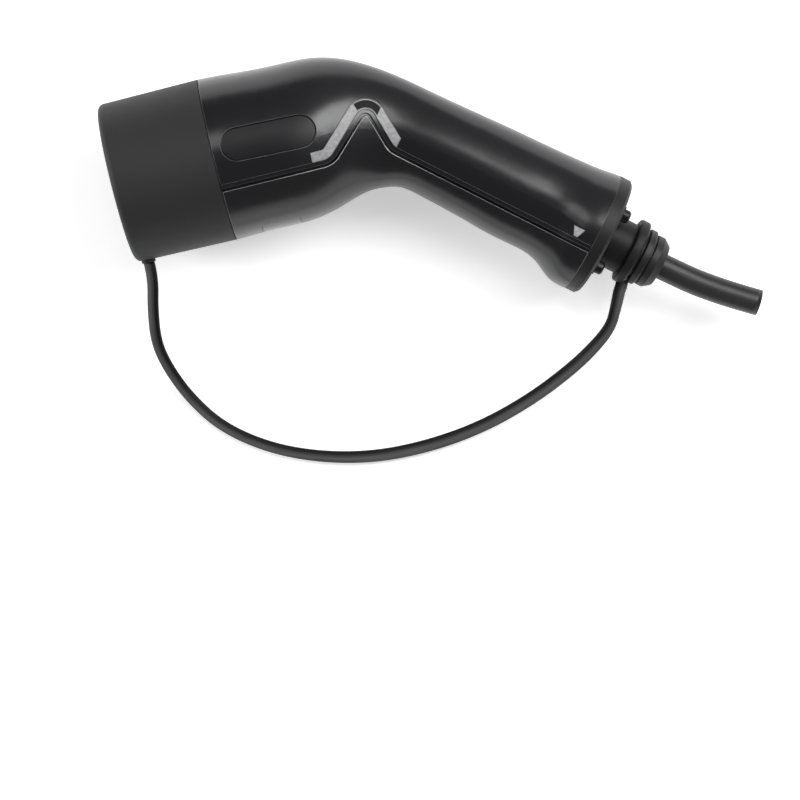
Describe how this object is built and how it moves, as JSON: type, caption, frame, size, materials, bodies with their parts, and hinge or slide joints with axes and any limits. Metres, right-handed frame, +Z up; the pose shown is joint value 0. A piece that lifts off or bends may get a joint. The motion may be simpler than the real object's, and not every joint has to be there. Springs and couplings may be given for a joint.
{
  "type": "electric vehicle charging connector with cable end",
  "caption": "Hand-held angled charging connector with a round contact shroud, a dust cap on a rubber tether, a ribbed cable entry and a short length of cable.",
  "frame": {"origin": "bottom centre of the connector without its tether and free cable, on the surface it lies on", "axes": "+Z up; +X from the dust cap to the rear of the barrel, along the mating axis; +Y towards the back of the bend, away from the handle's end; the connector lies on its side, so its left side faces up"},
  "size_m": [0.2616, 0.1772, 0.07],
  "materials": {
    "shell_plastic": "satin black moulding",
    "trim_grey": "light grey, finely textured",
    "window_dark": "glossy near-black window",
    "panel_plastic": "satin black panel",
    "plate_gloss": "glossy black plate",
    "screw_steel": "plain steel screws",
    "screw_dark": "blackened screws",
    "cap_rubber": "matte dark rubber",
    "seal_rubber": "black seal rubber",
    "sleeve_plastic": "matte black shroud",
    "carrier_plastic": "matte black insulator",
    "tab_plastic": "light grey tab",
    "contact_metal": "turned brass",
    "resistor_ceramic": "small resistor",
    "collar_plastic": "matte dark collar",
    "gland_plastic": "dark grey, glossy",
    "tether_rubber": "dark rubber",
    "boot_rubber": "dark rubber",
    "wire_earth": "green insulation",
    "wire_line": "brown insulation",
    "wire_neutral": "blue insulation",
    "wire_pilot": "grey insulation",
    "cable_jacket": "satin black jacket"
  },
  "bodies": {
    "connector": {"back_shell": "shell_plastic", "belly_shell": "shell_plastic", "side_trim_left": "trim_grey", "side_trim_right": "trim_grey", "status_window_left": "window_dark", "status_window_right": "window_dark", "side_panel_left": "panel_plastic", "side_panel_right": "panel_plastic", "side_marker_left": "trim_grey", "side_marker_right": "trim_grey", "rating_plate": "plate_gloss", "rating_plate_screw": "screw_steel", "nose_seal": "seal_rubber", "nose_sleeve": "sleeve_plastic", "contact_carrier": "carrier_plastic", "coding_tab": "tab_plastic", "contact_retainer": "carrier_plastic", "retainer_screws": "screw_steel", "line_socket": "contact_metal", "earth_socket": "contact_metal", "neutral_socket": "contact_metal", "proximity_socket": "contact_metal", "pilot_socket": "contact_metal", "coding_resistor": "resistor_ceramic", "end_collar": "collar_plastic", "collar_screws": "screw_dark", "gland_body": "gland_plastic", "cable_grommet": "seal_rubber", "tether_ring": "tether_rubber", "strain_relief_boot": "boot_rubber", "clamp_saddle": "carrier_plastic", "clamp_base": "carrier_plastic", "clamp_screws": "screw_steel", "earth_wire": "wire_earth", "line_wire": "wire_line", "neutral_wire": "wire_neutral", "pilot_wire": "wire_pilot", "cable_inner_end": "cable_jacket", "cable": "cable_jacket", "tether": "tether_rubber"},
    "cap": {"dust_cap": "cap_rubber"}
  },
  "joints": [
    {"name": "cap_pull", "type": "slide", "parent": "connector", "child": "cap", "axis": [-1, 0, 0], "range_m": [0, 0.07]}
  ]
}
